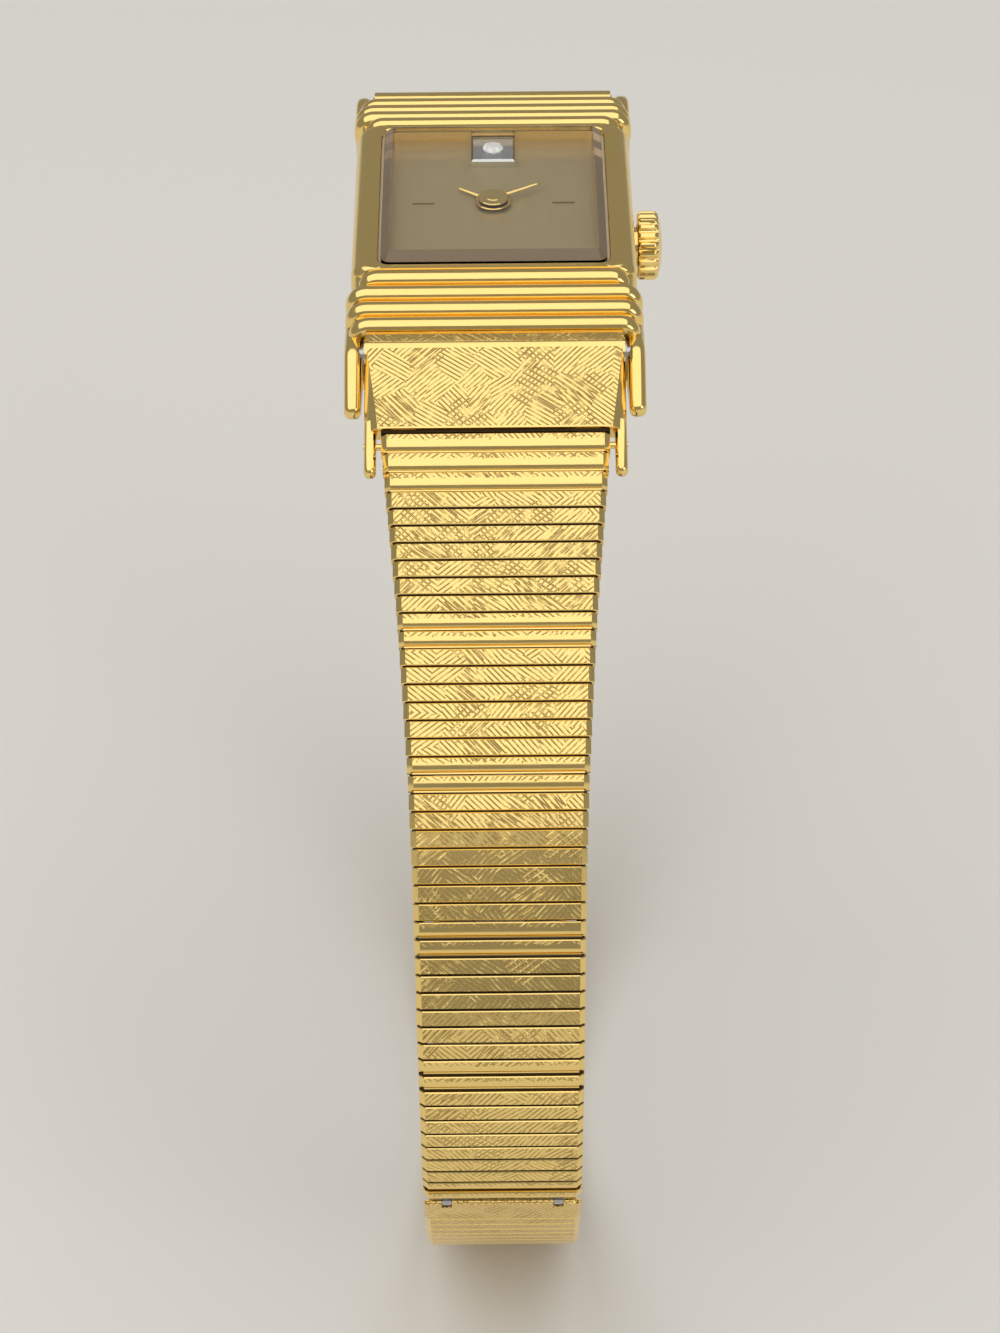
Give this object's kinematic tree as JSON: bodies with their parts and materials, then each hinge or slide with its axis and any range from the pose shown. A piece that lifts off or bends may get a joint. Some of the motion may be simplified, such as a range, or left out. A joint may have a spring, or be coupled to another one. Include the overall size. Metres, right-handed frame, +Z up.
{
  "type": "rectangular wristwatch",
  "caption": "Ladies' rectangular dress watch with stepped ribs at both ends and a closed engraved strip bracelet with a folding clasp.",
  "frame": {"origin": "middle of the case back's outer face", "axes": "+X to the crown, -Y to six o'clock, +Z up through the dial"},
  "size_m": [0.0192, 0.0629, 0.0596],
  "materials": {
    "case_gold": "polished",
    "strip_gold": "engraved",
    "bare_steel": "brushed",
    "setting_metal": "polished",
    "clear_stone": "faceted",
    "crystal_glass": "polished",
    "dial_satin": "satin",
    "seal_rubber": "matt",
    "ring_plastic": "matt",
    "plate_brass": "satin",
    "wheel_brass": "polished",
    "movement_steel": "satin",
    "cell_steel": "satin",
    "coil_copper": "lacquered wire",
    "board_green": "lacquered"
  },
  "bodies": {
    "case": {"case_middle": "case_gold", "case_back": "bare_steel", "back_gasket": "seal_rubber", "crystal": "crystal_glass", "crystal_gasket": "seal_rubber", "dial": "dial_satin", "stone_setting": "setting_metal", "stone": "clear_stone", "movement_ring": "ring_plastic", "main_plate": "plate_brass", "train_bridge": "movement_steel", "bridge_screws": "movement_steel", "stator": "movement_steel", "coil_winding": "coil_copper", "coil_core": "movement_steel", "battery": "cell_steel", "battery_clamp": "movement_steel", "circuit_board": "board_green", "quartz_can": "movement_steel", "spring_bars": "bare_steel"},
    "minute_hand": {"centre_wheel": "wheel_brass", "minute_hand": "case_gold"},
    "hour_hand": {"hour_wheel": "wheel_brass", "hour_hand": "case_gold"},
    "minute_wheel": {"minute_wheel": "wheel_brass"},
    "third_wheel": {"third_wheel": "wheel_brass"},
    "intermediate_wheel": {"intermediate_wheel": "wheel_brass"},
    "rotor": {"rotor": "movement_steel"},
    "crown_slide": {"crown_gasket": "seal_rubber"},
    "crown": {"crown": "case_gold", "winding_stem": "movement_steel", "sliding_pinion": "movement_steel"},
    "setting_lever": {"setting_lever": "movement_steel"},
    "end_link_6": {"end_link_6": "case_gold"},
    "links_6_01": {"links_6_01": "strip_gold"},
    "links_6_02": {"links_6_02": "strip_gold"},
    "links_6_03": {"links_6_03": "strip_gold"},
    "links_6_04": {"links_6_04": "strip_gold"},
    "links_6_05": {"links_6_05": "strip_gold"},
    "links_6_06": {"links_6_06": "strip_gold"},
    "links_6_07": {"links_6_07": "strip_gold"},
    "clasp_frame": {"clasp_frame": "bare_steel"},
    "end_link_12": {"end_link_12": "case_gold"},
    "links_12_01": {"links_12_01": "strip_gold"},
    "links_12_02": {"links_12_02": "strip_gold"},
    "links_12_03": {"links_12_03": "strip_gold"},
    "links_12_04": {"links_12_04": "strip_gold"},
    "links_12_05": {"links_12_05": "strip_gold"},
    "links_12_06": {"links_12_06": "strip_gold"},
    "links_12_07": {"links_12_07": "strip_gold", "clasp_tongue": "bare_steel"},
    "clasp_flap": {"clasp_flap": "case_gold"}
  },
  "joints": [
    {"name": "hands_turn", "type": "hinge", "parent": "case", "child": "minute_hand", "pos_m": [0, 0, 0.004], "axis": [0, 0, -1], "continuous": true},
    {"name": "hour_turn", "type": "hinge", "parent": "case", "child": "hour_hand", "pos_m": [0, 0, 0.004], "axis": [0, 0, -1], "continuous": true},
    {"name": "minute_wheel_turn", "type": "hinge", "parent": "case", "child": "minute_wheel", "pos_m": [0.00103, -0.00123, 0.004], "axis": [0, 0, -1], "continuous": true},
    {"name": "third_wheel_turn", "type": "hinge", "parent": "case", "child": "third_wheel", "pos_m": [-0.00033, 0.00186, 0.004], "axis": [0, 0, -1], "continuous": true},
    {"name": "intermediate_wheel_turn", "type": "hinge", "parent": "case", "child": "intermediate_wheel", "pos_m": [-0.0021, 0.00251, 0.004], "axis": [0, 0, -1], "continuous": true},
    {"name": "rotor_turn", "type": "hinge", "parent": "case", "child": "rotor", "pos_m": [-0.00266, 0.00403, 0.004], "axis": [0, 0, -1], "continuous": true},
    {"name": "crown_pull", "type": "slide", "parent": "case", "child": "crown_slide", "axis": [1, 0, 0], "range_m": [0, 0.0008]},
    {"name": "crown_turn", "type": "hinge", "parent": "crown_slide", "child": "crown", "pos_m": [0.0088, 0, 0.0023], "axis": [1, 0, 0], "continuous": true},
    {"name": "lever_swing", "type": "hinge", "parent": "case", "child": "setting_lever", "pos_m": [0.00535, 0.0021, 0.00135], "axis": [0, 0, 1], "range_deg": [0, 21.88]},
    {"name": "end_link_6_turn", "type": "hinge", "parent": "case", "child": "end_link_6", "pos_m": [0, -0.01432, 0.004], "axis": [-1, 0, 0], "range_deg": [0, 15.01]},
    {"name": "links_6_01_turn", "type": "hinge", "parent": "end_link_6", "child": "links_6_01", "pos_m": [0, -0.0201, 0.00145], "axis": [-1, 0, 0], "range_deg": [0, 10.51]},
    {"name": "links_6_02_turn", "type": "hinge", "parent": "links_6_01", "child": "links_6_02", "pos_m": [0, -0.02919, -0.00489], "axis": [-1, 0, 0], "range_deg": [0, 7.55]},
    {"name": "links_6_03_turn", "type": "hinge", "parent": "links_6_02", "child": "links_6_03", "pos_m": [0, -0.0351, -0.01049], "axis": [-1, 0, 0], "range_deg": [0, 8.25]},
    {"name": "links_6_04_turn", "type": "hinge", "parent": "links_6_03", "child": "links_6_04", "pos_m": [0, -0.04014, -0.01687], "axis": [-1, 0, 0], "range_deg": [0, 10.51]},
    {"name": "links_6_05_turn", "type": "hinge", "parent": "links_6_04", "child": "links_6_05", "pos_m": [0, -0.04318, -0.02329], "axis": [-1, 0, 0], "range_deg": [0, 10.51]},
    {"name": "links_6_06_turn", "type": "hinge", "parent": "links_6_05", "child": "links_6_06", "pos_m": [0, -0.04422, -0.02827], "axis": [-1, 0, 0], "range_deg": [0, 10.51]},
    {"name": "links_6_07_turn", "type": "hinge", "parent": "links_6_06", "child": "links_6_07", "pos_m": [0, -0.04424, -0.03233], "axis": [-1, 0, 0], "range_deg": [0, 9.93]},
    {"name": "clasp_frame_turn", "type": "hinge", "parent": "links_6_07", "child": "clasp_frame", "pos_m": [0, -0.04373, -0.03534], "axis": [-1, 0, 0], "range_deg": [0, 10.51]},
    {"name": "band_open", "type": "hinge", "parent": "case", "child": "end_link_12", "pos_m": [0, 0.01432, 0.004], "axis": [1, 0, 0], "range_deg": [0, 71.25]},
    {"name": "links_12_01_turn", "type": "hinge", "parent": "end_link_12", "child": "links_12_01", "pos_m": [0, 0.01547, -0.00224], "axis": [1, 0, 0], "range_deg": [0, 10.51]},
    {"name": "links_12_02_turn", "type": "hinge", "parent": "links_12_01", "child": "links_12_02", "pos_m": [0, 0.01512, -0.01832], "axis": [1, 0, 0], "range_deg": [0, 10.51]},
    {"name": "links_12_03_turn", "type": "hinge", "parent": "links_12_02", "child": "links_12_03", "pos_m": [0, 0.00439, -0.03998], "axis": [1, 0, 0], "range_deg": [0, 10.51]},
    {"name": "links_12_04_turn", "type": "hinge", "parent": "links_12_03", "child": "links_12_04", "pos_m": [0, -0.00667, -0.04885], "axis": [1, 0, 0], "range_deg": [0, 10.51]},
    {"name": "links_12_05_turn", "type": "hinge", "parent": "links_12_04", "child": "links_12_05", "pos_m": [0, -0.02031, -0.05252], "axis": [1, 0, 0], "range_deg": [0, 10.51]},
    {"name": "links_12_06_turn", "type": "hinge", "parent": "links_12_05", "child": "links_12_06", "pos_m": [0, -0.03209, -0.04983], "axis": [1, 0, 0], "range_deg": [0, 10.51]},
    {"name": "links_12_07_turn", "type": "hinge", "parent": "links_12_06", "child": "links_12_07", "pos_m": [0, -0.03968, -0.04318], "axis": [1, 0, 0], "range_deg": [0, 10.51]},
    {"name": "flap_open", "type": "hinge", "parent": "clasp_frame", "child": "clasp_flap", "pos_m": [0, -0.04384, -0.03587], "axis": [-1, 0, 0], "range_deg": [0, 100]}
  ],
  "couplings": [
    {"joint": "hour_turn", "follows": "hands_turn", "ratio": 0.083333},
    {"joint": "minute_wheel_turn", "follows": "hands_turn", "ratio": -0.33333},
    {"joint": "third_wheel_turn", "follows": "hands_turn", "ratio": -6},
    {"joint": "intermediate_wheel_turn", "follows": "hands_turn", "ratio": 36},
    {"joint": "rotor_turn", "follows": "hands_turn", "ratio": -180},
    {"joint": "lever_swing", "follows": "crown_pull", "rad_per_m": 476.19},
    {"joint": "end_link_6_turn", "follows": "band_open", "ratio": 0.21052},
    {"joint": "links_6_01_turn", "follows": "band_open", "ratio": 0.14737},
    {"joint": "links_6_02_turn", "follows": "band_open", "ratio": 0.10587},
    {"joint": "links_6_03_turn", "follows": "band_open", "ratio": 0.11571},
    {"joint": "links_6_04_turn", "follows": "band_open", "ratio": 0.14737},
    {"joint": "links_6_05_turn", "follows": "band_open", "ratio": 0.14737},
    {"joint": "links_6_06_turn", "follows": "band_open", "ratio": 0.14737},
    {"joint": "links_6_07_turn", "follows": "band_open", "ratio": 0.13923},
    {"joint": "clasp_frame_turn", "follows": "band_open", "ratio": 0.14737},
    {"joint": "links_12_01_turn", "follows": "band_open", "ratio": 0.14737},
    {"joint": "links_12_02_turn", "follows": "band_open", "ratio": 0.14737},
    {"joint": "links_12_03_turn", "follows": "band_open", "ratio": 0.14737},
    {"joint": "links_12_04_turn", "follows": "band_open", "ratio": 0.14737},
    {"joint": "links_12_05_turn", "follows": "band_open", "ratio": 0.14737},
    {"joint": "links_12_06_turn", "follows": "band_open", "ratio": 0.14737},
    {"joint": "links_12_07_turn", "follows": "band_open", "ratio": 0.14737}
  ]
}
